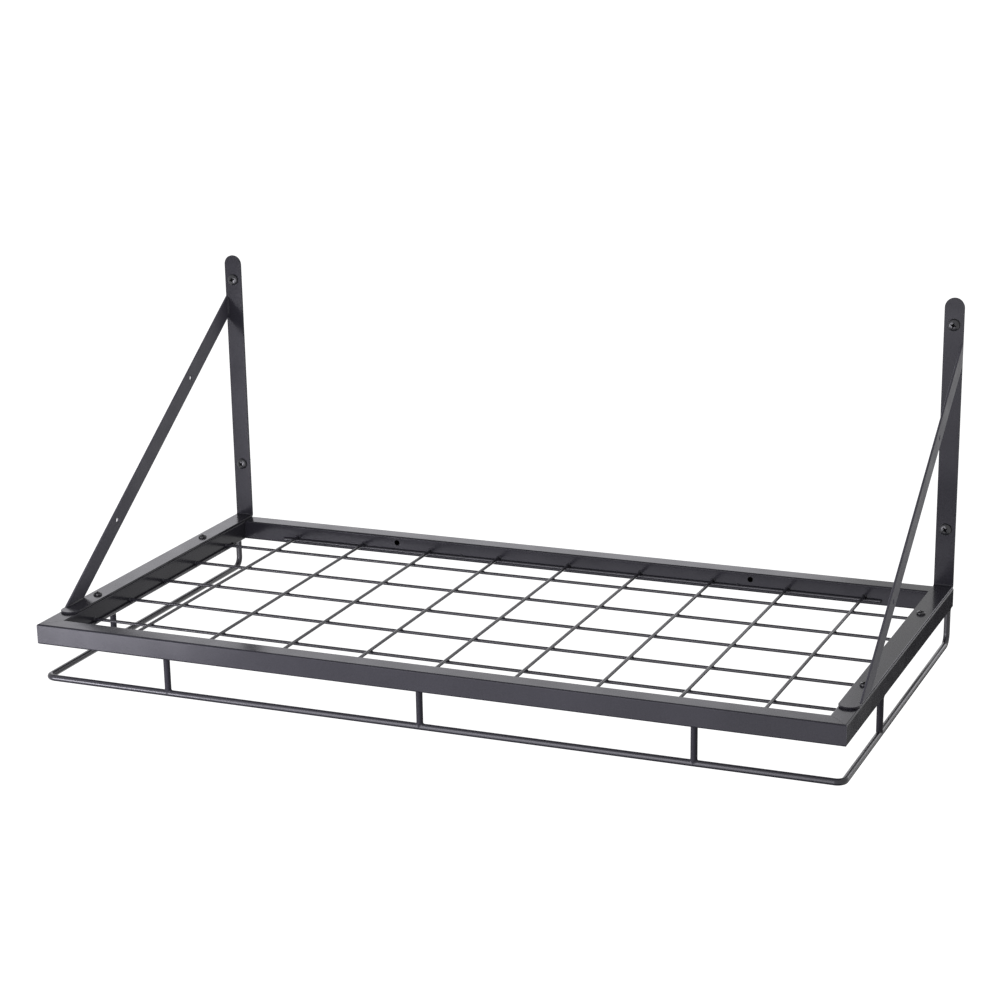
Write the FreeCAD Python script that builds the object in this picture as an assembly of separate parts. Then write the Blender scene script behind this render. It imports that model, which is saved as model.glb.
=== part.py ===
import FreeCAD, Part
import math
import os

# Wall-mounted pot rack in millimetres.
# +X runs along the wall, +Y points into the wall and +Z is up.
# The wall is the plane y = 0, and the origin is the middle of the four wall screws on that plane.

V = FreeCAD.Vector
ORIGIN = V(0, 0, 0)
RIGHT = V(1, 0, 0)
BACK = V(0, 1, 0)
UP = V(0, 0, 1)

# Shelf frame of square tube
frame_width = 762.0
frame_depth = 389.0
tube_size = 19.0
tube_wall = 1.2
tube_corner_radius = 1.5
wall_hole_diameter = 5.6
wall_hole_spacing = 375.0
wall_hole_drop = 6.5

# Wire grid: cross wires lie on long wires, and the grid stands a little above the frame's underside
wire_diameter = 3.0
cross_wire_pitch = 75.0
long_wire_pitch = 64.5
long_wire_back_gap = 42.5
border_overhang = 16.5
grid_rise = 0.1

# Hanging rail and its posts, with insets from the frame's outer faces to the rod's middle
rod_diameter = 6.0
rail_drop = 34.0
rail_side_inset = 3.5
rail_front_inset = 7.0
rail_back_inset = 6.8
rail_corner_radius = 7.0
rail_rear_radius = 10.0
front_post_pitch = 250.0
side_post_setback = 126.0

# Brackets of flat bar: an L-shaped strap and a slanting brace on each side
bar_width = 18.5
bar_thickness = 2.0
bar_edge_chamfer = 0.35
strap_bend_radius = 1.2
leg_setback = 35.0
upright_margin = 25.0
brace_width = 18.0
brace_foot_setback = 13.0
brace_top_drop = 41.6
brace_hole_diameter = 5.0
brace_hole_spacing = 188.0

# Wall screws
wall_screw_spacing = 194.0
wall_screw_height = 57.0
wall_screw_diameter = 4.8
wall_screw_length = 19.0
wall_screw_head_diameter = 11.0
wall_screw_head_height = 3.2

# Machine screws of the straps and the flush rivet nuts that hold them
leg_screw_wall_gap = 93.0
leg_screw_tip_gap = 57.0
leg_screw_diameter = 4.0
leg_screw_length = 10.0
leg_screw_head_diameter = 8.2
leg_screw_head_height = 2.7
nut_width = 6.0
nut_collar_width = 8.4
nut_collar_height = 2.6
nut_length = 9.5

# Clearances
seat_gap = 0.02
screw_hole_clearance = 0.7
thread_clearance = 0.05
cut_margin = 5.0
least_sharp_angle = 0.1

# Places worked out from the sizes
half_width = frame_width / 2
frame_top = -wall_screw_height - wall_screw_spacing / 2
frame_bottom = frame_top - tube_size
inner_half_width = half_width - tube_size
inner_front = tube_size - frame_depth
inner_back = -tube_size
wire_radius = wire_diameter / 2
wire_step = wire_diameter + seat_gap
border_height = frame_bottom + grid_rise + wire_radius
long_wire_height = border_height + wire_step
cross_wire_height = long_wire_height + wire_step
least_end_gap = border_overhang + 2 * wire_diameter
rod_radius = rod_diameter / 2
rail_height = frame_bottom - rail_drop
rail_half_width = half_width - rail_side_inset
rail_front = rail_front_inset - frame_depth
rail_back = -rail_back_inset
strap_middle = half_width - tube_size / 2
leg_bottom = frame_top + seat_gap
leg_top = leg_bottom + bar_thickness
leg_reach = frame_depth - leg_setback
upright_top = wall_screw_spacing / 2 + upright_margin
upright_front = -bar_thickness


def export(shape, node):
    """Write one node's STEP file."""
    shape.exportStep(os.path.join("parts", node + ".step"))


def cylinder(radius, start, end):
    """Round bar from start to end."""
    along = end - start
    return Part.makeCylinder(radius, along.Length, start, along)


def prism(points, along):
    """Closed outline pushed along a vector."""
    outline = Part.makePolygon(points + points[:1])
    return Part.Face(outline).extrude(along)


def hexagon(width, height):
    """Corners of a hexagon about the Z axis, with width across its flats."""
    radius = width / math.sqrt(3)
    turns = [index * math.pi / 3 for index in range(6)]
    return [V(radius * math.cos(turn), radius * math.sin(turn), height) for turn in turns]


def turned(outline):
    """Solid of revolution about the Z axis from its outline of radius and height pairs."""
    points = [V(radius, 0, height) for radius, height in outline]
    return Part.Face(Part.makePolygon(points + points[:1])).revolve(ORIGIN, UP, 360)


def moved(shape, offset):
    """A copy of the shape at an offset."""
    copy = shape.copy()
    copy.translate(offset)
    return copy


def mirrored(shape):
    """The same piece on the other side of the rack."""
    return shape.mirror(ORIGIN, RIGHT)


def evenly(count, pitch):
    """Positions of a row of copies about zero."""
    return [(index - (count - 1) / 2) * pitch for index in range(count)]


def odd_row(pitch, reach):
    """Positions of a row about zero, with one copy in the middle and the rest within reach."""
    return evenly(2 * int(reach / pitch) + 1, pitch)


def sharp_edges(shape):
    """Edges where two faces meet at an angle."""
    sharp = []
    for edge in shape.Edges:
        point = edge.valueAt((edge.FirstParameter + edge.LastParameter) / 2)
        faces = shape.ancestorsOfType(edge, Part.Face)
        normals = [face.normalAt(*face.Surface.parameter(point)) for face in faces]
        if normals[0].getAngle(normals[-1]) > least_sharp_angle:
            sharp.append(edge)
    return sharp


# Frame


def square_tube(length):
    """Square tube from x = 0 to length, with rounded outer edges and open ends."""
    bore_size = tube_size - 2 * tube_wall
    corner = V(-cut_margin, -bore_size / 2, -bore_size / 2)
    bore = Part.makeBox(length + 2 * cut_margin, bore_size, bore_size, corner)
    bar = Part.makeBox(length, tube_size, tube_size, V(0, -tube_size / 2, -tube_size / 2))
    long_edges = [edge for edge in bar.Edges if abs(edge.tangentAt(0).x) > 0.5]
    return bar.makeFillet(tube_corner_radius, long_edges).cut(bore)


def mitred_tube(length):
    """Tube along X, centred, with its outer face at y = 0, its inner face at y = tube_size and mitred ends."""
    tube = square_tube(length)
    tube.translate(V(-length / 2, tube_size / 2, 0))
    outer = length / 2 + cut_margin
    inner = length / 2 - tube_size - cut_margin
    low = -tube_size
    outline = [V(-outer, -cut_margin, low), V(outer, -cut_margin, low),
               V(inner, tube_size + cut_margin, low), V(-inner, tube_size + cut_margin, low)]
    return tube.common(prism(outline, UP * (2 * tube_size)))


def frame_rail(length, turn, place):
    """One rail of the frame: a mitred tube turned about +Z and set on the middle of its outer face."""
    rail = mitred_tube(length)
    rail.rotate(ORIGIN, UP, turn)
    rail.translate(place + UP * (frame_top - tube_size / 2))
    return rail


def front_rail():
    return frame_rail(frame_width, 0, BACK * -frame_depth)


def back_rail():
    """Rear rail with two holes right through it for more wall screws."""
    rail = frame_rail(frame_width, 180, ORIGIN)
    for x in evenly(2, wall_hole_spacing):
        start = V(x, inner_back - cut_margin, frame_top - wall_hole_drop)
        rail = rail.cut(cylinder(wall_hole_diameter / 2, start, start + BACK * (tube_size + 2 * cut_margin)))
    return rail


def leg_screw_places():
    """Where the left strap's machine screws pass through the top of the side rail."""
    reaches = [leg_screw_wall_gap, leg_reach - leg_screw_tip_gap]
    return [V(-strap_middle, -reach, frame_top) for reach in reaches]


def left_rail():
    """Side rail with a six-sided hole in its top wall for each rivet nut."""
    rail = frame_rail(frame_depth, 270, V(-half_width, -frame_depth / 2, 0))
    depth = UP * (tube_wall + cut_margin)
    hole = prism(hexagon(nut_width + 2 * seat_gap, -depth.z), depth * 2)
    for place in leg_screw_places():
        rail = rail.cut(moved(hole, place))
    return rail


# Wire grid


def long_wire(y, half_length):
    """Grid wire along X."""
    return cylinder(wire_radius, V(-half_length, y, long_wire_height), V(half_length, y, long_wire_height))


def cross_wire(x, front, back, height):
    """Grid wire along Y."""
    return cylinder(wire_radius, V(x, front, height), V(x, back, height))


def long_wire_places():
    """Where the long wires lie, from back to front."""
    first = inner_back - long_wire_back_gap
    spare = first - inner_front - least_end_gap
    return [first - index * long_wire_pitch for index in range(1 + int(spare / long_wire_pitch))]


def grid_wires():
    """All grid wires by node name: inner wires end at the rails, border wires lie along them."""
    wires = {}
    xs = odd_row(cross_wire_pitch, inner_half_width - least_end_gap)
    ys = long_wire_places()
    for number, y in enumerate(ys, 1):
        wires["grid_long_wire_%d" % number] = long_wire(y, inner_half_width)
    for number, x in enumerate(xs, 1):
        wires["grid_cross_wire_%d" % number] = cross_wire(x, inner_front, inner_back, cross_wire_height)
    rail_gap = wire_radius + seat_gap
    half_length = xs[-1] + border_overhang
    wires["grid_border_wire_front"] = long_wire(inner_front + rail_gap, half_length)
    wires["grid_border_wire_back"] = long_wire(inner_back - rail_gap, half_length)
    side = inner_half_width - rail_gap
    front_end = ys[-1] - border_overhang
    back_end = ys[0] + border_overhang
    wires["grid_border_wire_left"] = cross_wire(-side, front_end, back_end, border_height)
    wires["grid_border_wire_right"] = cross_wire(side, front_end, back_end, border_height)
    return wires


# Hanging rail


def bend(corner, before, after, radius):
    """Arc that rounds a square corner of a path, from the run along before to the run along after."""
    start = corner - before * radius
    end = corner + after * radius
    middle = corner + (after - before) * (radius * (1 - math.sqrt(0.5)))
    return Part.Arc(start, middle, end).toShape()


def rail_path():
    """Centre line of the hanging rail from its left rear end to its right rear end."""
    top_left = V(-rail_half_width, rail_back, frame_bottom)
    rear_left = V(-rail_half_width, rail_back, rail_height)
    front_left = V(-rail_half_width, rail_front, rail_height)
    front_right = V(rail_half_width, rail_front, rail_height)
    rear_right = V(rail_half_width, rail_back, rail_height)
    top_right = V(rail_half_width, rail_back, frame_bottom)
    bends = [bend(rear_left, -UP, -BACK, rail_rear_radius), bend(front_left, -BACK, RIGHT, rail_corner_radius),
             bend(front_right, RIGHT, BACK, rail_corner_radius), bend(rear_right, BACK, UP, rail_rear_radius)]
    edges = []
    point = top_left
    for arc in bends:
        edges.append(Part.makeLine(point, arc.firstVertex(True).Point))
        edges.append(arc)
        point = arc.lastVertex(True).Point
    edges.append(Part.makeLine(point, top_right))
    return Part.Wire(edges)


def hanging_rail():
    """One rod bent to a U, with both rear ends turned up to the frame."""
    start = V(-rail_half_width, rail_back, frame_bottom)
    section = Part.Wire(Part.makeCircle(rod_radius, start, -UP))
    return rail_path().makePipeShell([section], True, False)


def rail_post(x, y, along):
    """Post from the frame's underside to the hanging rail, with its foot coped to the rod."""
    foot = V(x, y, rail_height)
    post = cylinder(rod_radius, foot, V(x, y, frame_bottom))
    half_cut = along * (rod_diameter + cut_margin)
    return post.cut(cylinder(rod_radius + seat_gap, foot - half_cut, foot + half_cut))


def rail_posts():
    """All posts by node name."""
    posts = {}
    reach = rail_half_width - rail_corner_radius - rod_diameter
    for number, x in enumerate(odd_row(front_post_pitch, reach), 1):
        posts["front_post_%d" % number] = rail_post(x, rail_front, RIGHT)
    side = side_post_setback - frame_depth
    posts["left_post"] = rail_post(-rail_half_width, side, BACK)
    posts["right_post"] = rail_post(rail_half_width, side, BACK)
    return posts


# Brackets


def strap_profile():
    """Outline of the bent strap in the plane x = 0."""
    outer_radius = strap_bend_radius + bar_thickness
    slant = V(0, math.sqrt(0.5), -math.sqrt(0.5))
    centre = V(0, -outer_radius, leg_bottom + outer_radius)
    tip_low = V(0, -leg_reach, leg_bottom)
    tip_high = V(0, -leg_reach, leg_top)
    bend_low = V(0, -outer_radius, leg_bottom)
    bend_back = V(0, 0, centre.z)
    inner_low = V(0, -outer_radius, leg_top)
    inner_front_edge = V(0, upright_front, centre.z)
    top_back = V(0, 0, upright_top)
    top_front = V(0, upright_front, upright_top)
    edges = [Part.makeLine(top_back, bend_back),
             Part.Arc(bend_back, centre + slant * outer_radius, bend_low).toShape(),
             Part.makeLine(bend_low, tip_low),
             Part.makeLine(tip_low, tip_high),
             Part.makeLine(tip_high, inner_low),
             Part.Arc(inner_low, centre + slant * strap_bend_radius, inner_front_edge).toShape(),
             Part.makeLine(inner_front_edge, top_front),
             Part.makeLine(top_front, top_back)]
    return Part.Wire(edges)


def round_end_waste(end, inward, through):
    """What is cut away to give a bar a full-round end: end is the middle of the bar's end."""
    radius = bar_width / 2
    across = RIGHT * radius
    thickness = through * (bar_thickness + cut_margin)
    corner = end - across - thickness
    block = prism([corner, corner + across * 2, corner + across * 2 + inward * radius, corner + inward * radius],
                  thickness * 2)
    centre = end + inward * radius
    return block.cut(cylinder(radius, centre - thickness * 2, centre + thickness * 2))


def wall_screw_places():
    """Where the left strap's wall screws cross the wall plane."""
    return [V(-strap_middle, 0, z) for z in evenly(2, wall_screw_spacing)]


def left_strap():
    """Flat bar bent to an L, with round ends, eased edges and a hole for each screw."""
    strap = Part.Face(strap_profile()).extrude(RIGHT * bar_width)
    strap.translate(RIGHT * (-strap_middle - bar_width / 2))
    strap = strap.cut(round_end_waste(V(-strap_middle, 0, upright_top), -UP, BACK))
    strap = strap.cut(round_end_waste(V(-strap_middle, -leg_reach, leg_bottom), BACK, UP))
    strap = strap.makeChamfer(bar_edge_chamfer, sharp_edges(strap))
    wall_hole_radius = (wall_screw_diameter + screw_hole_clearance) / 2
    for place in wall_screw_places():
        reach = BACK * (bar_thickness + cut_margin)
        strap = strap.cut(cylinder(wall_hole_radius, place - reach, place + reach))
    leg_hole_radius = (leg_screw_diameter + screw_hole_clearance) / 2
    for place in leg_screw_places():
        strap = strap.cut(cylinder(leg_hole_radius, place, place + UP * (bar_thickness + cut_margin)))
    return strap


def left_brace():
    """Flat bar on edge at the strap's outer side, cut to sit on the leg and against the upright."""
    foot_front = V(0, brace_foot_setback - leg_reach, leg_top)
    top_high = V(0, upright_front, upright_top - brace_top_drop)
    along = (top_high - foot_front).normalize()
    top_low = top_high - UP * (brace_width / along.y)
    foot_back = foot_front + BACK * (brace_width / along.z)
    outline = [foot_front, foot_back, top_low, top_high]
    brace = prism(outline, RIGHT * bar_thickness)
    long_edges = [edge for edge in brace.Edges if abs(edge.tangentAt(0).dot(along)) > 1 - least_sharp_angle]
    brace = brace.makeChamfer(bar_edge_chamfer, long_edges)
    middle = (foot_front + foot_back + top_low + top_high) * 0.25
    reach = RIGHT * (bar_thickness + cut_margin)
    for step in evenly(2, brace_hole_spacing):
        hole = middle + along * step
        brace = brace.cut(cylinder(brace_hole_diameter / 2, hole - reach, hole + reach))
    brace.translate(RIGHT * (-strap_middle - bar_width / 2))
    return brace


# Fasteners


def wall_screw():
    """Wall screw along +Z: head above z = 0, then a tapered neck in the strap and a shank in the wall."""
    head_radius = wall_screw_head_diameter / 2
    radius = wall_screw_diameter / 2
    neck_radius = radius + screw_hole_clearance / 4
    return turned([(0, wall_screw_head_height), (head_radius, wall_screw_head_height), (head_radius, 0),
                   (neck_radius, 0), (radius, -bar_thickness), (radius, -wall_screw_length),
                   (0, -wall_screw_length)])


def leg_screw():
    """Machine screw along +Z: head above z = 0, shank below."""
    head_radius = leg_screw_head_diameter / 2
    radius = leg_screw_diameter / 2
    return turned([(0, leg_screw_head_height), (head_radius, leg_screw_head_height), (head_radius, 0),
                   (radius, 0), (radius, -leg_screw_length), (0, -leg_screw_length)])


def rivet_nut():
    """Six-sided rivet nut along +Z: flush with the tube's top at z = 0, collar gripping the wall from inside."""
    body = prism(hexagon(nut_width, -nut_length), UP * nut_length)
    collar_top = -tube_wall - seat_gap
    rings = [hexagon(nut_collar_width, collar_top), hexagon(nut_width, collar_top - nut_collar_height)]
    collar = Part.makeLoft([Part.makePolygon(ring + ring[:1]) for ring in rings], True, True)
    bore_radius = leg_screw_diameter / 2 + thread_clearance
    bore = cylinder(bore_radius, UP * -(nut_length + cut_margin), UP * cut_margin)
    return body.fuse(collar).cut(bore).removeSplitter()


def on_both_sides(piece, places):
    """One group of separate solids: a copy of the piece at each of the left side's places and its mirror image."""
    copies = [moved(piece, place) for place in places]
    return Part.makeCompound(copies + [mirrored(copy) for copy in copies])


def wall_screws():
    screw = wall_screw()
    screw.rotate(ORIGIN, RIGHT, 90)
    screw.translate(BACK * -bar_thickness)
    return on_both_sides(screw, wall_screw_places())


def leg_screws():
    screw = leg_screw()
    screw.translate(UP * (leg_top - frame_top))
    return on_both_sides(screw, leg_screw_places())


def rivet_nuts():
    return on_both_sides(rivet_nut(), leg_screw_places())


def build():
    """Every node of the rack by name."""
    nodes = {"front_rail": front_rail(), "back_rail": back_rail(), "left_rail": left_rail()}
    nodes["right_rail"] = mirrored(nodes["left_rail"])
    nodes.update(grid_wires())
    nodes["hanging_rail"] = hanging_rail()
    nodes.update(rail_posts())
    nodes["left_strap"] = left_strap()
    nodes["right_strap"] = mirrored(nodes["left_strap"])
    nodes["left_brace"] = left_brace()
    nodes["right_brace"] = mirrored(nodes["left_brace"])
    nodes["wall_screws"] = wall_screws()
    nodes["leg_screws"] = leg_screws()
    nodes["rivet_nuts"] = rivet_nuts()
    return nodes


os.makedirs("parts", exist_ok=True)
for node, shape in build().items():
    export(shape, node)
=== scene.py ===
import math

import bmesh
import bpy
from mathutils import Matrix, Quaternion, Vector


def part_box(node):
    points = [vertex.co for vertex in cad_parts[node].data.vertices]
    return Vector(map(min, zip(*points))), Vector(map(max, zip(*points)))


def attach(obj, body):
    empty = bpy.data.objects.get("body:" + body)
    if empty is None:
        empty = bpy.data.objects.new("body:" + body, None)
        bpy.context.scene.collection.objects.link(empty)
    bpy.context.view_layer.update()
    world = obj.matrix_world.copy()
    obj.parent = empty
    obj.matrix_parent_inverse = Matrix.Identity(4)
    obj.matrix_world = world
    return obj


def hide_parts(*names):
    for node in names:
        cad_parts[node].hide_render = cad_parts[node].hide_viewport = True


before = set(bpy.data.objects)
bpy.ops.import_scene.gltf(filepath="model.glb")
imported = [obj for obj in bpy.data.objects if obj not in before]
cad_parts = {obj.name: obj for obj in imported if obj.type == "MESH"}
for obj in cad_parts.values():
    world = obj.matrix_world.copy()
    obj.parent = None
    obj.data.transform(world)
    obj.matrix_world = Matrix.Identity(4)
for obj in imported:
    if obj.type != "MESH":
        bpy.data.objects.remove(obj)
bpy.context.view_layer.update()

# A wall-mounted pot rack of black powder-coated steel, in metres.
# +X runs along the wall, +Y points into the wall and +Z is up.

MM = 0.001
FULL_TURN = 2 * math.pi
RIGHT = Vector((1, 0, 0))
BACK = Vector((0, 1, 0))
UP = Vector((0, 0, 1))

# Camera: where it stands, the point on its axis near the rack, its tilt and its framing
camera_place = Vector((0.8453, -2.2163, 0.5562))
camera_target = Vector((-0.0370, -0.1087, -0.1783))
camera_roll = math.radians(-0.94)
camera_lens = 89.2
camera_sensor = 36.0
camera_rise = 0.1

# Floor and surroundings
floor_height = -2.6
floor_half_size = 40.0
floor_colour = (0.55, 0.55, 0.55, 1)
floor_glow = 0.75
world_level = 0.7
white = (1, 1, 1, 1)

# Soft boxes: two behind for the top faces and edges, two low in front and one higher in front.
# Each has a place, a width, a height and a power.
light_colour = (0.92, 0.905, 1.0)
light_target = Vector((0, -0.2, -0.12))
soft_boxes = {
    "rear_light": (Vector((-1.15, 2.2, 0.75)), 1.7, 0.8, 5.0),
    "edge_light": (Vector((1.05, 1.85, 0.4)), 0.4, 0.4, 1.5),
    "left_light": (Vector((-0.735, -1.05, -0.27)), 0.27, 0.36, 5.8),
    "front_light": (Vector((-0.15, -1.1, -0.34)), 0.9, 0.56, 4.8),
    "high_light": (Vector((-0.20, -1.1, 0.08)), 0.7, 0.5, 5.2),
}

# Dark cards out of the picture: the rear one darkens the outer side of the right rail, and the other two
# darken the upper and lower sides of the rods. Each lies between two opposite corners.
card_colour = (0.05, 0.05, 0.05, 1)
floor_card_rise = 0.02
floor_card_height = floor_height + floor_card_rise
cards = {
    "rear_card": (Vector((0.26, 0.6, -2.0)), Vector((0.7, 0.6, -0.325))),
    "upper_card": (Vector((-1.8, -0.3, 1.6)), Vector((0.6, 2.0, 1.6))),
    "floor_card": (Vector((-2.2, -2.6, floor_card_height)), Vector((2.2, 2.0, floor_card_height))),
}

# Settings of the nodes: where most of a noise's values lie, the rays that look for an edge, and the cosines
# between the rounded and the true normal at which wear is full and at which it ends
noise_span = (0.3, 0.7)
edge_samples = 4
edge_span = (0.9, 0.995)

# Patterns of the finishes: each has the size of its features and a level of detail
coat_clouds = (60 * MM, 3)
coat_gloss = (24 * MM, 5)
coat_patches = (9 * MM, 4)
coat_peel = (2.6 * MM, 1)
coat_grain = (0.9 * MM, 4)
screw_clouds = (2.5 * MM, 4)
screw_gloss = (1.5 * MM, 4)
screw_patches = (1.2 * MM, 3)
screw_grain = (0.5 * MM, 3)
recess_clouds = (0.8 * MM, 3)
recess_gloss = (0.6 * MM, 3)
recess_grain = (0.4 * MM, 2)
plate_clouds = (3 * MM, 4)
plate_gloss = (1.5 * MM, 4)
plate_grain = (0.4 * MM, 2)

# Powder coat: each finish is a paleness, a specular level, a range of roughness and the height of its peel
coat_dark = Vector((0.0125, 0.0120, 0.0155))
coat_pale = Vector((0.0175, 0.0168, 0.0215))
coat_speck = Vector((0.028, 0.027, 0.033))
speck_share = 0.5
grain_height = 0.004 * MM
# Paler colour along the coat's edges: partly wear, partly a painted highlight along the edges
edge_wear_and_highlight_colour = (0.075, 0.074, 0.080, 1)
edge_wear_and_highlight_reach = 0.5 * MM
edge_wear_and_highlight_shares = (0.05, 0.6)
tube_finish = (1.0, 0.12, (0.17, 0.24), 0.012 * MM)
rod_finish = (1.0, 0.40, (0.20, 0.26), 0.012 * MM)
post_finish = (1.0, 0.08, (0.45, 0.55), 0.012 * MM)
# The braces' paleness of 2.3 paints sheen: a paler copy of the coat for the brighter look their faces take
# from the light
brace_finish_with_painted_sheen = (2.3, 0.30, (0.45, 0.55), 0.012 * MM)
weld_finish = (1.0, 0.20, (0.20, 0.30), 0.25 * MM)

# Finishes of the screws, of their recesses and of the rivet nuts; the recesses are darker and duller than the
# heads as painted shade
screw_dark = (0.010, 0.010, 0.012, 1)
screw_pale = (0.020, 0.020, 0.023, 1)
screw_specular = 0.5
screw_roughness = (0.18, 0.28)
screw_grain_height = 0.010 * MM
bare_colour = (0.33, 0.33, 0.34, 1)
bare_reach = 0.2 * MM
bare_shares = (0, 0.6)
recess_shade_dark = (0.003, 0.003, 0.003, 1)
recess_shade_pale = (0.006, 0.006, 0.007, 1)
recess_specular = 0.05
recess_roughness = (0.55, 0.75)
recess_grain_height = 0.010 * MM
plate_dark = (0.56, 0.56, 0.54, 1)
plate_pale = (0.66, 0.66, 0.63, 1)
plate_roughness = (0.28, 0.42)
plate_grain_height = 0.008 * MM

# Screws, as large as in the construction
wall_head_radius = 5.5 * MM
wall_head_height = 3.2 * MM
wall_shank_radius = 2.4 * MM
wall_thread_depth = 0.55 * MM
wall_thread_pitch = 1.8 * MM
wall_point_length = 5.0 * MM
leg_head_radius = 4.1 * MM
leg_head_height = 2.7 * MM
leg_shank_radius = 2.0 * MM
leg_thread_depth = 0.3 * MM
leg_thread_pitch = 0.7 * MM
head_turns = [math.radians(angle) for angle in (18, 52, -12, 35)]

# Screw heads: shares of the radius and the height, and the powers that make the dome fuller than a round
crown_width = 0.02
side_height = 0.28
rim_width = 0.95
rim_height = 0.06
dome_width_power = 0.8
dome_height_power = 0.9
dome_steps = 8
head_segments = 40

# Cross recess: its reach is a share of the head's width, its depth of the head's height, and its width of its
# own reach. The blades narrow to the foot, and a round well in the middle is measured in widths of a blade.
recess_reach = 0.56
recess_width = 0.20
recess_depth = 0.62
blade_foot = 0.45
blade_taper = 0.3
well_top = 1.3
well_foot = 0.5
well_segments = 16

# Threads: the steepness of the ridge and the blunt tip's share of the shank
ridge_slope = 3
tip_share = 0.04
rows_per_turn = 8
thread_segments = 28

# Stock sizes of the construction that a node's box doesn't give
tube_corner = 1.5 * MM
brace_width = 18.0 * MM

# Weld sizes
post_weld = 0.9 * MM
rail_weld = 1.3 * MM
wire_weld = 1.1 * MM
nugget_radius = 1.75 * MM
nugget_half_height = 0.6 * MM
seam_half_width = 0.5 * MM
seam_height = 0.05 * MM
brace_weld = 1.5 * MM
brace_weld_margin = 1.5 * MM
weld_sink = 0.5 * MM
weld_edge_gap = 0.45 * MM
tack_places = (-116 * MM, 51 * MM, 175 * MM)
tack_half_width = 1.4 * MM

# Weld shapes: the points of a face are shares of the weld's size, outward and upward.
# Each wave of a bead has a height, a number of crests in a turn and a shift from one seed to the next.
bead_waves = ((0.16, 3, 2.1), (0.10, 7, 4.7))
collar_face = ((0.08, 0.92), (0.32, 0.36), (0.92, 0.07))
collar_steps = 24
saddle_least = 0.35
saddle_rise = 0.3
saddle_swell = 0.03
saddle_steps = 32
nugget_face = ((0.55, -1), (0.9, -0.55), (1, 0), (0.9, 0.55), (0.55, 1))
nugget_steps = 16
fillet_face = ((1, 0.05), (0.4, 0.4), (0.05, 1))
seam_shoulder = (0.5, 0.8)
run_end = 0.25
run_power = 0.4
run_steps = 10
post_top_seed = 7
rail_end_seed = 14

# Edges that turn by more than this many degrees stay sharp
piece_sharp_angle = 35
weld_sharp_angle = 60


# Node helpers


def shader(name):
    """A new material with its node tree and its surface shader."""
    material = bpy.data.materials.new(name)
    material.use_nodes = True
    tree = material.node_tree
    return material, tree, tree.nodes["Principled BSDF"]


def noise(tree, pattern):
    """Noise over the object, with features of a pattern's size and detail."""
    feature_size, detail = pattern
    coordinates = tree.nodes.new("ShaderNodeTexCoord")
    texture = tree.nodes.new("ShaderNodeTexNoise")
    texture.inputs["Scale"].default_value = 1 / feature_size
    texture.inputs["Detail"].default_value = detail
    tree.links.new(coordinates.outputs["Object"], texture.inputs["Vector"])
    return texture.outputs["Fac"]


def ranged(tree, value, low, high, span=noise_span):
    """A value's span mapped to low to high."""
    start, end = span
    mapped = tree.nodes.new("ShaderNodeMapRange")
    mapped.inputs["From Min"].default_value = start
    mapped.inputs["From Max"].default_value = end
    mapped.inputs["To Min"].default_value = low
    mapped.inputs["To Max"].default_value = high
    tree.links.new(value, mapped.inputs["Value"])
    return mapped.outputs["Result"]


def mixed(tree, factor, first, second):
    """Two colours mixed by a factor: each colour is four numbers or an output."""
    mix = tree.nodes.new("ShaderNodeMix")
    mix.data_type = "RGBA"
    tree.links.new(factor, mix.inputs["Factor"])
    for name, colour in (("A", first), ("B", second)):
        socket = next(item for item in mix.inputs if item.name == name and item.type == "RGBA")
        if isinstance(colour, bpy.types.NodeSocket):
            tree.links.new(colour, socket)
        else:
            socket.default_value = colour
    return next(item for item in mix.outputs if item.type == "RGBA")


def calculated(tree, operation, first, second):
    """One sum, product or the like of two outputs or numbers."""
    maths = tree.nodes.new("ShaderNodeMath")
    maths.operation = operation
    for socket, value in zip(maths.inputs, (first, second)):
        if isinstance(value, bpy.types.NodeSocket):
            tree.links.new(value, socket)
        else:
            socket.default_value = value
    return maths.outputs["Value"]


def bumped(tree, height, distance, normal=None):
    """A normal with bumps of the given height in metres."""
    bump = tree.nodes.new("ShaderNodeBump")
    bump.inputs["Distance"].default_value = distance
    tree.links.new(height, bump.inputs["Height"])
    if normal is not None:
        tree.links.new(normal, bump.inputs["Normal"])
    return bump.outputs["Normal"]


def near_edges(tree, reach):
    """1 at sharp edges, falling to 0 at the given reach from them."""
    bevel = tree.nodes.new("ShaderNodeBevel")
    bevel.samples = edge_samples
    bevel.inputs["Radius"].default_value = reach
    geometry = tree.nodes.new("ShaderNodeNewGeometry")
    product = tree.nodes.new("ShaderNodeVectorMath")
    product.operation = "DOT_PRODUCT"
    tree.links.new(bevel.outputs["Normal"], product.inputs[0])
    tree.links.new(geometry.outputs["Normal"], product.inputs[1])
    return ranged(tree, product.outputs["Value"], 1, 0, edge_span)


# Materials


def clouded(tree, pattern, dark, pale):
    """A colour that drifts between two tones."""
    return mixed(tree, ranged(tree, noise(tree, pattern), 0, 1), dark, pale)


def edge_wear_and_highlight(tree, reach, pattern, shares):
    """A mask along sharp edges, in patches of different shares: wear on the screws, and on the coat wear
    together with a painted edge highlight.
    """
    patches = ranged(tree, noise(tree, pattern), *shares)
    return calculated(tree, "MULTIPLY", near_edges(tree, reach), patches)


def set_roughness(tree, surface, pattern, roughness):
    """Roughness that drifts within a range."""
    tree.links.new(ranged(tree, noise(tree, pattern), *roughness), surface.inputs["Roughness"])


def set_bumps(tree, surface, pattern, height):
    """Bumps of one pattern and height."""
    tree.links.new(bumped(tree, noise(tree, pattern), height), surface.inputs["Normal"])


def scaled(colour, paleness):
    """A colour times a paleness, with the fourth number that a socket needs."""
    return (*(colour * paleness), 1)


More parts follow.
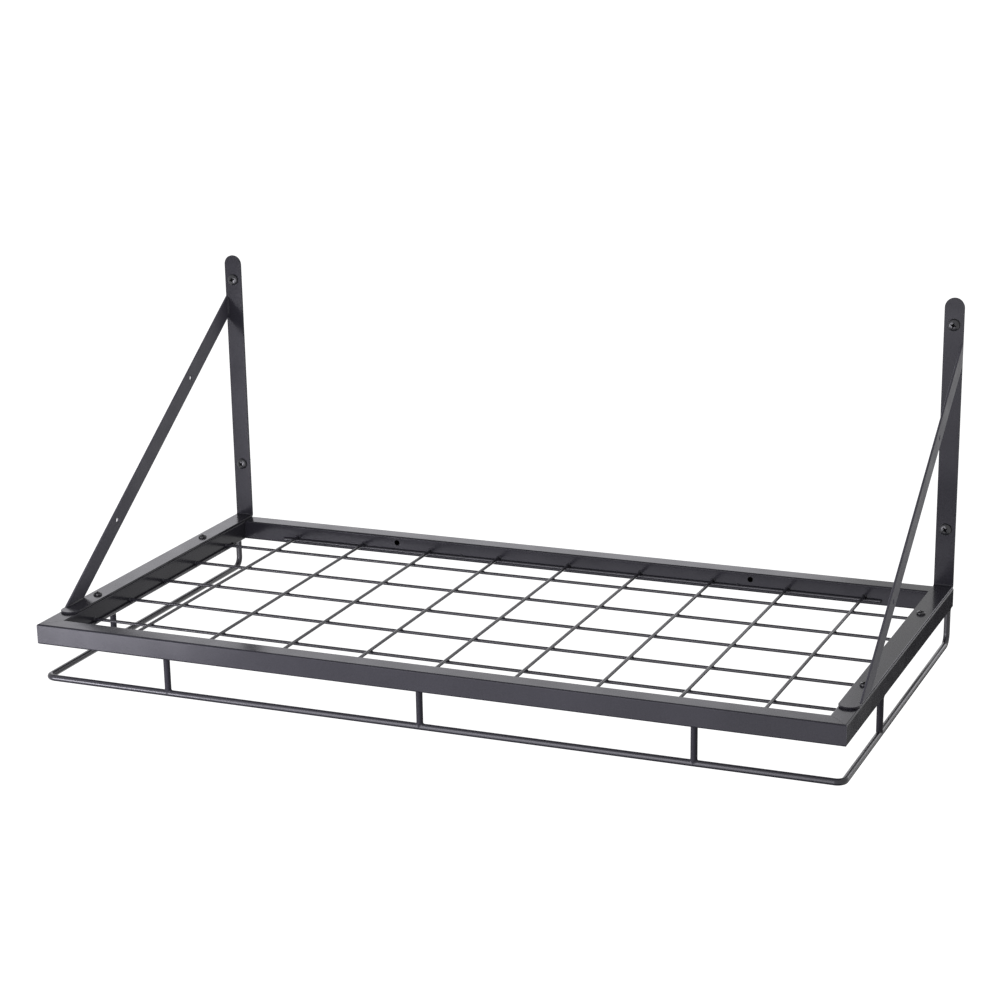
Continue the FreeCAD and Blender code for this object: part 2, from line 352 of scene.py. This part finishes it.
def powder_coat(name, finish, has_worn_highlit_edges=False):
    """Satin black powder coat: fine grain on a slight orange peel, dusty clouds and perhaps paler edges,
    partly wear and partly a painted edge highlight.
    """
    material, tree, surface = shader(name)
    paleness, specular, roughness, peel_height = finish
    grain = noise(tree, coat_grain)
    tone = clouded(tree, coat_clouds, scaled(coat_dark, paleness), scaled(coat_pale, paleness))
    colour = mixed(tree, ranged(tree, grain, 0, speck_share), tone, scaled(coat_speck, paleness))
    # Paler colour along sharp edges: wear and a painted edge highlight
    if has_worn_highlit_edges:
        worn_and_highlit_edges = edge_wear_and_highlight(tree, edge_wear_and_highlight_reach, coat_patches, edge_wear_and_highlight_shares)
        colour = mixed(tree, worn_and_highlit_edges, colour, edge_wear_and_highlight_colour)
    tree.links.new(colour, surface.inputs["Base Color"])
    set_roughness(tree, surface, coat_gloss, roughness)
    surface.inputs["Specular IOR Level"].default_value = specular
    peel = bumped(tree, noise(tree, coat_peel), peel_height)
    tree.links.new(bumped(tree, grain, grain_height, peel), surface.inputs["Normal"])
    return material


def screw_finish():
    """Black coated screw steel: shinier than the frame, with bare metal where the driver has worn it."""
    material, tree, surface = shader("black_screw_finish")
    bare = edge_wear_and_highlight(tree, bare_reach, screw_patches, bare_shares)
    tone = clouded(tree, screw_clouds, screw_dark, screw_pale)
    tree.links.new(mixed(tree, bare, tone, bare_colour), surface.inputs["Base Color"])
    tree.links.new(bare, surface.inputs["Metallic"])
    set_roughness(tree, surface, screw_gloss, screw_roughness)
    surface.inputs["Specular IOR Level"].default_value = screw_specular
    set_bumps(tree, surface, screw_grain, screw_grain_height)
    return material


def recess_painted_shade_finish():
    """Dull black in the recess of a screw, darker than the head: painted shade."""
    material, tree, surface = shader("black_screw_recess_painted_shade")
    tone = clouded(tree, recess_clouds, recess_shade_dark, recess_shade_pale)
    tree.links.new(tone, surface.inputs["Base Color"])
    set_roughness(tree, surface, recess_gloss, recess_roughness)
    surface.inputs["Specular IOR Level"].default_value = recess_specular
    set_bumps(tree, surface, recess_grain, recess_grain_height)
    return material


def plated_finish():
    """Zinc plate: bright, a little uneven in tone and gloss."""
    material, tree, surface = shader("plated_steel_finish")
    tone = clouded(tree, plate_clouds, plate_dark, plate_pale)
    tree.links.new(tone, surface.inputs["Base Color"])
    surface.inputs["Metallic"].default_value = 1
    set_roughness(tree, surface, plate_gloss, plate_roughness)
    set_bumps(tree, surface, plate_grain, plate_grain_height)
    return material


def matte(name, colour):
    """A dull material of one colour, for the stage."""
    material, tree, surface = shader(name)
    surface.inputs["Base Color"].default_value = colour
    surface.inputs["Roughness"].default_value = 1
    surface.inputs["Specular IOR Level"].default_value = 0
    return material, tree, surface


# Mesh helpers: a part is a list of vertices and a list of faces


def joined(parts):
    """Several parts as one."""
    vertices = []
    faces = []
    for part_vertices, part_faces in parts:
        first = len(vertices)
        vertices += part_vertices
        faces += [tuple(first + index for index in face) for face in part_faces]
    return vertices, faces


def placed(part, matrix):
    """A part moved by a matrix."""
    vertices, faces = part
    return [matrix @ vertex for vertex in vertices], faces


def within(part, low, high):
    """A part with its points kept between two corners."""
    vertices, faces = part
    kept = [Vector([min(max(value, least), most) for value, least, most in zip(vertex, low, high)])
            for vertex in vertices]
    return kept, faces


def rectangle(low, high):
    """One flat face, level or upright, between two opposite corners."""
    side = RIGHT * (high.x - low.x)
    return [low, low + side, high, high - side], [(0, 1, 2, 3)]


def ring(sections):
    """Closed ring of closed sections with equal numbers of points."""
    rows = len(sections)
    columns = len(sections[0])
    faces = []
    for row in range(rows):
        for column in range(columns):
            after = (row + 1) % rows
            beside = (column + 1) % columns
            faces.append((row * columns + column, after * columns + column, after * columns + beside,
                          row * columns + beside))
    return [point for section in sections for point in section], faces


def stack(sections):
    """Closed sections joined in order, with both ends filled."""
    vertices, faces = ring(sections)
    columns = len(sections[0])
    faces = faces[:-columns]
    faces.append(tuple(range(columns)))
    faces.append(tuple(reversed(range(len(vertices) - columns, len(vertices)))))
    return vertices, faces


def circle(radius, height, steps):
    """Points round the local Z axis: the radius is a number or a function of the angle."""
    points = []
    for step in range(steps):
        angle = FULL_TURN * step / steps
        reach = radius(angle) if callable(radius) else radius
        points.append(Vector((reach * math.cos(angle), reach * math.sin(angle), height)))
    return points


def lathe(outline, steps):
    """Outline of radius and height pairs turned about the local Z axis, from its top to its bottom."""
    return stack([circle(radius, height, steps) for radius, height in reversed(outline)])


def turn_outward(mesh):
    """Turn every face of closed shells to the outside."""
    shells = bmesh.new()
    shells.from_mesh(mesh)
    bmesh.ops.recalc_face_normals(shells, faces=shells.faces)
    shells.to_mesh(mesh)
    shells.free()


def shade(mesh, sharp_angle):
    """Smooth shading, except at edges sharper than the angle in degrees."""
    mesh.shade_smooth()
    mesh.set_sharp_from_angle(angle=math.radians(sharp_angle))


def mesh_object(name, part, material, sharp_angle=piece_sharp_angle):
    """An object of one part, smooth except at sharp edges."""
    mesh = bpy.data.meshes.new(name)
    vertices, faces = part
    mesh.from_pydata(vertices, [], faces)
    turn_outward(mesh)
    shade(mesh, sharp_angle)
    mesh.materials.append(material)
    piece = bpy.data.objects.new(name, mesh)
    bpy.context.scene.collection.objects.link(piece)
    return piece


def ride_on_rack(piece):
    """The piece is fixed to the rack."""
    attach(piece, "root")


def along(direction, side, place):
    """Matrix that stands local Z along a direction with local X near a side, at a place."""
    axis_z = direction.normalized()
    axis_y = axis_z.cross(side).normalized()
    axis_x = axis_y.cross(axis_z)
    return Matrix.Translation(place) @ Matrix((axis_x, axis_y, axis_z)).transposed().to_4x4()


# Measures and names of the construction's nodes


def middle_of(node):
    """The middle of a node's box."""
    low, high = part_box(node)
    return (low + high) / 2


def half_width(node):
    """Half the width of a node's box: the radius of a rod or wire that doesn't run along X."""
    low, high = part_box(node)
    return (high.x - low.x) / 2


def names_with(start):
    """Names of the nodes that begin with some words, in order."""
    return sorted(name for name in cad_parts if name.startswith(start))


# Screws


def dome(radius, height):
    """Outline of a pan head from its crown to its rim: a short straight side under a round crown."""
    side = side_height * height
    outline = [(crown_width * radius, height)]
    for step in range(1, dome_steps + 1):
        turn = math.pi / 2 * step / dome_steps
        reach = radius * math.sin(turn) ** dome_width_power
        outline.append((reach, side + (height - side) * math.cos(turn) ** dome_height_power))
    outline.append((radius, rim_height * height))
    outline.append((rim_width * radius, 0))
    return outline


def thread(radius, depth, pitch, length, point_length):
    """Threaded shank down local Z from the origin, drawn to a point over its last stretch."""
    count = int(length / pitch * rows_per_turn)
    sections = []
    for row in range(count + 1):
        height = -length * row / count
        taper = 1 if point_length == 0 else min(1, tip_share + (length + height) / point_length)

        def reach(angle, height=height, taper=taper):
            """Radius of the ridge at an angle."""
            phase = (height / pitch + angle / FULL_TURN) % 1
            ridge = max(0, 1 - abs(phase - 0.5) * ridge_slope)
            return (radius - depth * (1 - ridge)) * taper

        sections.append(circle(reach, height, thread_segments))
    return stack(list(reversed(sections)))


def blade(length, width, depth, top, turn):
    """One tapered arm pair of a cross recess."""
    spin = Matrix.Rotation(turn, 4, "Z")
    sections = []
    for share, height in ((blade_foot, top - depth), (1, top), (1, top + depth)):
        x = length * share / 2
        y = width * (1 - blade_taper + blade_taper * share) / 2
        corners = ((-x, -y), (x, -y), (x, y), (-x, y))
        sections.append([spin @ Vector((*corner, height)) for corner in corners])
    return stack(sections)


def recessed_head(name, radius, height, coat, recess_shade_coat):
    """Mesh of a domed head with a cross recess cut into its crown."""
    head = mesh_object(name, lathe(dome(radius, height), head_segments), coat)
    reach = 2 * radius * recess_reach
    width = recess_width * reach
    depth = recess_depth * height
    well = [(well_top * width, 2 * height), (well_top * width, height), (well_foot * width, height - depth)]
    cutters = [blade(reach, width, depth, height, turn) for turn in (0, math.pi / 2)]
    cutters.append(lathe(well, well_segments))
    tools = [mesh_object(name + "_cutter", cutter, recess_shade_coat) for cutter in cutters]
    for tool in tools:
        cut = head.modifiers.new("recess", "BOOLEAN")
        cut.object = tool
        # The cut faces take the recess material, whose darkness is painted shade
        cut.material_mode = "TRANSFER"
    bpy.context.view_layer.update()
    evaluated = head.evaluated_get(bpy.context.evaluated_depsgraph_get())
    mesh = bpy.data.meshes.new_from_object(evaluated)
    for spare in tools + [head]:
        bpy.data.objects.remove(spare)
    return mesh


def screw_mesh(name, head_sizes, shank, coat, recess_shade_coat):
    """Mesh of a whole screw: head above the local origin and shank below it."""
    mesh = recessed_head(name, *head_sizes, coat, recess_shade_coat)
    body = mesh_object(name + "_shank", shank, coat)
    both = bmesh.new()
    both.from_mesh(mesh)
    both.from_mesh(body.data)
    both.to_mesh(mesh)
    both.free()
    bpy.data.objects.remove(body)
    shade(mesh, piece_sharp_angle)
    return mesh


def place_screws(name, mesh, places, axis, side, node):
    """One screw at each place, each turned a little differently, in place of the plain ones."""
    for number, (place, turn) in enumerate(zip(places, head_turns), 1):
        screw = bpy.data.objects.new("%s_%d" % (name, number), mesh)
        bpy.context.scene.collection.objects.link(screw)
        screw.matrix_world = along(axis, side, place) @ Matrix.Rotation(turn, 4, "Z")
        ride_on_rack(screw)
        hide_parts(node)


def wall_screws(coat, recess_shade_coat):
    """Pan-head wood screws through the uprights."""
    low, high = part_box("wall_screws")
    seat = low.y + wall_head_height
    length = high.y - seat
    shank = thread(wall_shank_radius, wall_thread_depth, wall_thread_pitch, length, wall_point_length)
    mesh = screw_mesh("wall_screw", (wall_head_radius, wall_head_height), shank, coat, recess_shade_coat)
    places = [Vector((x, seat, z)) for x in (low.x + wall_head_radius, high.x - wall_head_radius)
              for z in (high.z - wall_head_radius, low.z + wall_head_radius)]
    place_screws("wall_screw", mesh, places, -BACK, RIGHT, "wall_screws")


def leg_screws(coat, recess_shade_coat):
    """Dome-head machine screws through the strap legs, with no point."""
    low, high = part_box("leg_screws")
    seat = high.z - leg_head_height
    shank = thread(leg_shank_radius, leg_thread_depth, leg_thread_pitch, seat - low.z, point_length=0)
    mesh = screw_mesh("leg_screw", (leg_head_radius, leg_head_height), shank, coat, recess_shade_coat)
    places = [Vector((x, y, seat)) for x in (low.x + leg_head_radius, high.x - leg_head_radius)
              for y in (low.y + leg_head_radius, high.y - leg_head_radius)]
    place_screws("leg_screw", mesh, places, UP, RIGHT, "leg_screws")


# Welds


def uneven(angle, seed):
    """A smooth wave about 1, for beads that aren't quite even."""
    return 1 + sum(height * math.sin(crests * angle + shift * seed) for height, crests, shift in bead_waves)


def collar(radius, size, matrix, seed):
    """Fillet weld round a rod that stands on a face: local Z runs along the rod, away from the face."""
    inside = radius - weld_sink
    sections = []
    for step in range(collar_steps):
        angle = FULL_TURN * step / collar_steps
        leg = size * uneven(angle, seed)
        face = [(radius + outward * leg, upward * leg) for outward, upward in collar_face]
        profile = [(inside, leg)] + face + [(radius + leg, -weld_sink), (inside, -weld_sink)]
        sections.append([Vector((reach * math.cos(angle), reach * math.sin(angle), height))
                         for reach, height in profile])
    return placed(ring(sections), matrix)


def saddle(radius, size, matrix, seed):
    """Fillet weld between a post and a rod of one radius: local Z runs up the post, local X along the rod."""
    sections = []
    for step in range(saddle_steps):
        angle = FULL_TURN * step / saddle_steps
        cosine = math.cos(angle)
        sine = math.sin(angle)
        leg = size * (saddle_least + (1 - saddle_least) * abs(cosine)) * uneven(angle, seed)
        lean = math.asin(sine)
        foot = Vector((radius * cosine, radius * sine, radius * abs(cosine)))
        outward = (Vector((cosine, sine, 0)) + Vector((0, math.sin(lean), math.cos(lean)))).normalized()
        spread = lean + math.copysign(leg * abs(sine) / radius, lean)
        on_post = foot + UP * leg
        on_rod = Vector((foot.x + leg * cosine, radius * math.sin(spread), radius * math.cos(spread)))
        chord = (on_post + on_rod) / 2
        middle = (chord + foot + outward * (saddle_rise * leg)) / 2
        swell = outward * (saddle_swell * leg)
        inside = foot - outward * (2 * weld_sink)
        sections.append([on_post, (on_post + middle) / 2 + swell, middle, (middle + on_rod) / 2 + swell,
                         on_rod, inside])
    return placed(ring(sections), matrix)


def nugget(place, seed):
    """Flat lens of melted steel between two crossing wires."""
    def reach(angle):
        """Radius of the lens at an angle."""
        return nugget_radius * uneven(angle, seed)

    sections = []
    for share, height in nugget_face:
        points = circle(reach, height * nugget_half_height, nugget_steps)
        sections.append([Vector((point.x * share, point.y * share, point.z)) + place for point in points])
    return stack(sections)


def run(start, end, across, upward, section, seed):
    """Weld along a line, thinner at both ends: the section's points are measured across and upward."""
    sections = []
    for step in range(run_steps + 1):
        share = step / run_steps
        fullness = run_end + (1 - run_end) * math.sin(math.pi * share) ** run_power
        size = fullness * uneven(FULL_TURN * share, seed)
        middle = start.lerp(end, share)
        sections.append([middle + across * (offset * size) + upward * (rise * size)
                         for offset, rise in section])
    return stack(sections)


def fillet_section(size):
    """Hollow fillet in a corner, sunk into both of its sides."""
    face = [(outward * size, upward * size) for outward, upward in fillet_face]
    return [(size, -weld_sink)] + face + [(-weld_sink, size), (-weld_sink, -weld_sink)]


def seam_section():
    """Low ground seam on a flat face, the same on both sides."""
    shoulder_width, shoulder_height = seam_shoulder
    half = [(seam_half_width, -weld_sink), (seam_half_width, 0),
            (shoulder_width * seam_half_width, shoulder_height * seam_height)]
    return half + [(0, seam_height)] + [(-offset, rise) for offset, rise in reversed(half)]


def add_welds(name, part, material):
    """Welds as one piece of the rack."""
    ride_on_rack(mesh_object(name, part, material, weld_sharp_angle))


def post_welds(material):
    """Welds at both ends of each post and at the hanging rail's rear ends, kept under the frame."""
    rail_low, rail_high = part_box("hanging_rail")
    frame_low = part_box("front_rail")[0]
    gap = Vector((weld_edge_gap, weld_edge_gap, 0))
    least = Vector((frame_low.x, frame_low.y, rail_low.z)) + gap
    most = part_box("back_rail")[1] - gap
    radius = half_width("right_post")
    posts = [(name, RIGHT) for name in names_with("front_post")] + [("left_post", BACK), ("right_post", BACK)]
    parts = []
    for seed, (name, rail_direction) in enumerate(posts):
        centre = middle_of(name)
        foot = Vector((centre.x, centre.y, rail_low.z + radius))
        top = Vector((centre.x, centre.y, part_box(name)[1].z))
        parts.append(saddle(radius, post_weld, along(UP, rail_direction, foot), seed))
        parts.append(collar(radius, rail_weld, along(-UP, RIGHT, top), seed + post_top_seed))
    for seed, x in enumerate((rail_low.x + radius, rail_high.x - radius)):
        top = Vector((x, rail_high.y - radius, rail_high.z))
        parts.append(collar(radius, rail_weld, along(-UP, RIGHT, top), seed + rail_end_seed))
    add_welds("post_welds", within(joined(parts), least, most), material)


def border_tacks(radius):
    """Short tacks that hold the back border wire to its rail."""
    wire = middle_of("grid_border_wire_back")
    section = fillet_section(radius)
    tacks = []
    for seed, x in enumerate(tack_places):
        crest = Vector((x, wire.y + radius, wire.z + radius))
        ends = [crest + RIGHT * (way * tack_half_width) for way in (-1, 1)]
        tacks.append(run(*ends, -BACK, UP, section, seed))
    return tacks


def grid_welds(material):
    """Nuggets where wires cross, fillets where they end at the rails, and tacks on the back border wire."""
    long_wires = names_with("grid_long_wire")
    cross_wires = names_with("grid_cross_wire")
    level_wires = long_wires + ["grid_border_wire_front", "grid_border_wire_back"]
    side_wires = ["grid_border_wire_left", "grid_border_wire_right"]
    crossings = [(cross_wire, level_wire) for cross_wire in cross_wires for level_wire in level_wires]
    crossings += [(side_wire, long_wire) for long_wire in long_wires for side_wire in side_wires]
    parts = []
    for front_to_back, left_to_right in crossings:
        first = middle_of(front_to_back)
        second = middle_of(left_to_right)
        parts.append(nugget(Vector((first.x, second.y, (first.z + second.z) / 2)), len(parts)))
    radius = half_width(cross_wires[0])
    welded_wires = [(wire, BACK) for wire in cross_wires] + [(wire, RIGHT) for wire in long_wires]
    for wire, direction in welded_wires:
        low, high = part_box(wire)
        half = direction * ((high - low).dot(direction) / 2)
        for way in (-1, 1):
            end = along(direction * -way, UP, middle_of(wire) + half * way)
            parts.append(collar(radius, wire_weld, end, len(parts)))
    add_welds("grid_welds", joined(parts + border_tacks(radius)), material)


def corner_seams(material):
    """Ground seams over the mitred corners of the frame, above and below."""
    low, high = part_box("front_rail")
    tube_width = high.y - low.y
    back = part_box("back_rail")[1].y
    parts = []
    for x, side in ((low.x, 1), (high.x, -1)):
        for y, way in ((low.y, 1), (back, -1)):
            step = Vector((side, way, 0))
            across = Vector((side, -way, 0)).normalized()
            for z, upward in ((high.z, UP), (low.z, -UP)):
                start = Vector((x, y, z)) + step * tube_corner
                end = Vector((x, y, z)) + step * (tube_width - tube_corner)
                parts.append(run(start, end, across, upward, seam_section(), len(parts)))
    add_welds("corner_seams", joined(parts), material)


def brace_welds(material):
    """Fillets along the inner side of each brace, at its foot on the leg and its top on the upright."""
    section = fillet_section(brace_weld)
    parts = []
    for name, inward in (("left_brace", RIGHT), ("right_brace", -RIGHT)):
        low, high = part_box(name)
        x = high.x if inward.x > 0 else low.x
        slant = Vector((0, high.y - low.y, high.z - low.z)).normalized()
        foot = Vector((x, low.y, low.z))
        foot_end = foot + BACK * (brace_width / slant.z - brace_weld_margin)
        parts.append(run(foot + BACK * brace_weld_margin, foot_end, inward, UP, section, len(parts)))
        top = Vector((x, high.y, high.z))
        top_end = top - UP * (brace_width / slant.y - brace_weld_margin)
        parts.append(run(top - UP * brace_weld_margin, top_end, inward, -BACK, section, len(parts)))
    add_welds("brace_welds", joined(parts), material)


# Stage, light and camera


def seen_rays(tree):
    """1 for rays that show the background: straight to the camera, mirrored or through glass."""
    path = tree.nodes.new("ShaderNodeLightPath")
    either = calculated(tree, "MAXIMUM", path.outputs["Is Camera Ray"], path.outputs["Is Glossy Ray"])
    return calculated(tree, "MAXIMUM", either, path.outputs["Is Transmission Ray"])


def make_world():
    """White surroundings that light the rack at a lower level than they show."""
    world = bpy.data.worlds.new("studio")
    world.use_nodes = True
    tree = world.node_tree
    background = tree.nodes["Background"]
    background.inputs["Color"].default_value = white
    strength = ranged(tree, seen_rays(tree), world_level, 1, (0, 1))
    tree.links.new(strength, background.inputs["Strength"])
    bpy.context.scene.world = world


def make_floor():
    """Plain pale floor far below the rack: it shows white and keeps the rack's soft shadow."""
    material, tree, surface = matte("pale_floor", floor_colour)
    surface.inputs["Emission Color"].default_value = white
    glow = calculated(tree, "MULTIPLY", seen_rays(tree), floor_glow)
    tree.links.new(glow, surface.inputs["Emission Strength"])
    low = Vector((-floor_half_size, -floor_half_size, floor_height))
    high = Vector((floor_half_size, floor_half_size, floor_height))
    floor = mesh_object("floor", rectangle(low, high), material)


def make_card(name, low, high):
    """Dark card that only the rack's reflections show."""
    material = matte(name, card_colour)[0]
    card = mesh_object(name, rectangle(low, high), material)
    card.visible_camera = False
    card.visible_diffuse = False
    card.visible_shadow = False


def make_light(name, place, width, height, power):
    """One soft box aimed at the rack."""
    light = bpy.data.lights.new(name, "AREA")
    light.shape = "RECTANGLE"
    light.size = width
    light.size_y = height
    light.energy = power
    light.color = light_colour
    lamp = bpy.data.objects.new(name, light)
    lamp.location = place
    lamp.rotation_mode = "QUATERNION"
    lamp.rotation_quaternion = (light_target - place).to_track_quat("-Z", "Y")
    bpy.context.scene.collection.objects.link(lamp)


def make_camera():
    """Camera at the photograph's view."""
    data = bpy.data.cameras.new("camera")
    data.lens = camera_lens
    data.sensor_width = camera_sensor
    data.shift_y = camera_rise
    camera = bpy.data.objects.new("camera", data)
    camera.location = camera_place
    camera.rotation_mode = "QUATERNION"
    level = (camera_target - camera_place).to_track_quat("-Z", "Y")
    camera.rotation_quaternion = level @ Quaternion((0, 0, 1), camera_roll)
    bpy.context.scene.collection.objects.link(camera)
    bpy.context.scene.camera = camera


def make_studio():
    """Surroundings, floor, dark cards, lamps and camera."""
    make_world()
    make_floor()
    for name, corners in cards.items():
        make_card(name, *corners)
    for name, settings in soft_boxes.items():
        make_light(name, *settings)
    make_camera()
    bpy.context.scene.view_settings.view_transform = "Standard"


# The whole rack


def dress_frame(coats, screw, plate):
    """Give every node of the construction its finish: coats go by the words that a node's name has."""
    finishes = {"black_powder_coat": coats["rail"], "black_screw": screw, "plated_steel": plate}
    for name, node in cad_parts.items():
        word = next((word for word in ("wire", "hanging", "post", "brace") if word in name), None)
        for slot in node.material_slots:
            slot.material = coats[word] if word else finishes[slot.material.name]


def dress_rack():
    """Give the construction its finishes, and add screws and welds."""
    tube_coat = powder_coat("black_powder_coat_tube", tube_finish, has_worn_highlit_edges=True)
    rod_coat = powder_coat("black_powder_coat_rod", rod_finish)
    post_coat = powder_coat("black_powder_coat_post", post_finish)
    # Paler brace coat: painted sheen
    brace_sheen_coat = powder_coat("black_powder_coat_brace_painted_sheen", brace_finish_with_painted_sheen, has_worn_highlit_edges=True)
    weld_coat = powder_coat("black_powder_coat_weld", weld_finish)
    screw = screw_finish()
    # The recess material is painted shade: darker than the head it is cut into
    recess = recess_painted_shade_finish()
    coats = {"rail": tube_coat, "wire": rod_coat, "hanging": rod_coat, "post": post_coat, "brace": brace_sheen_coat}
    dress_frame(coats, screw, plated_finish())
    wall_screws(screw, recess)
    leg_screws(screw, recess)
    post_welds(weld_coat)
    grid_welds(weld_coat)
    corner_seams(tube_coat)
    brace_welds(weld_coat)


dress_rack()
make_studio()
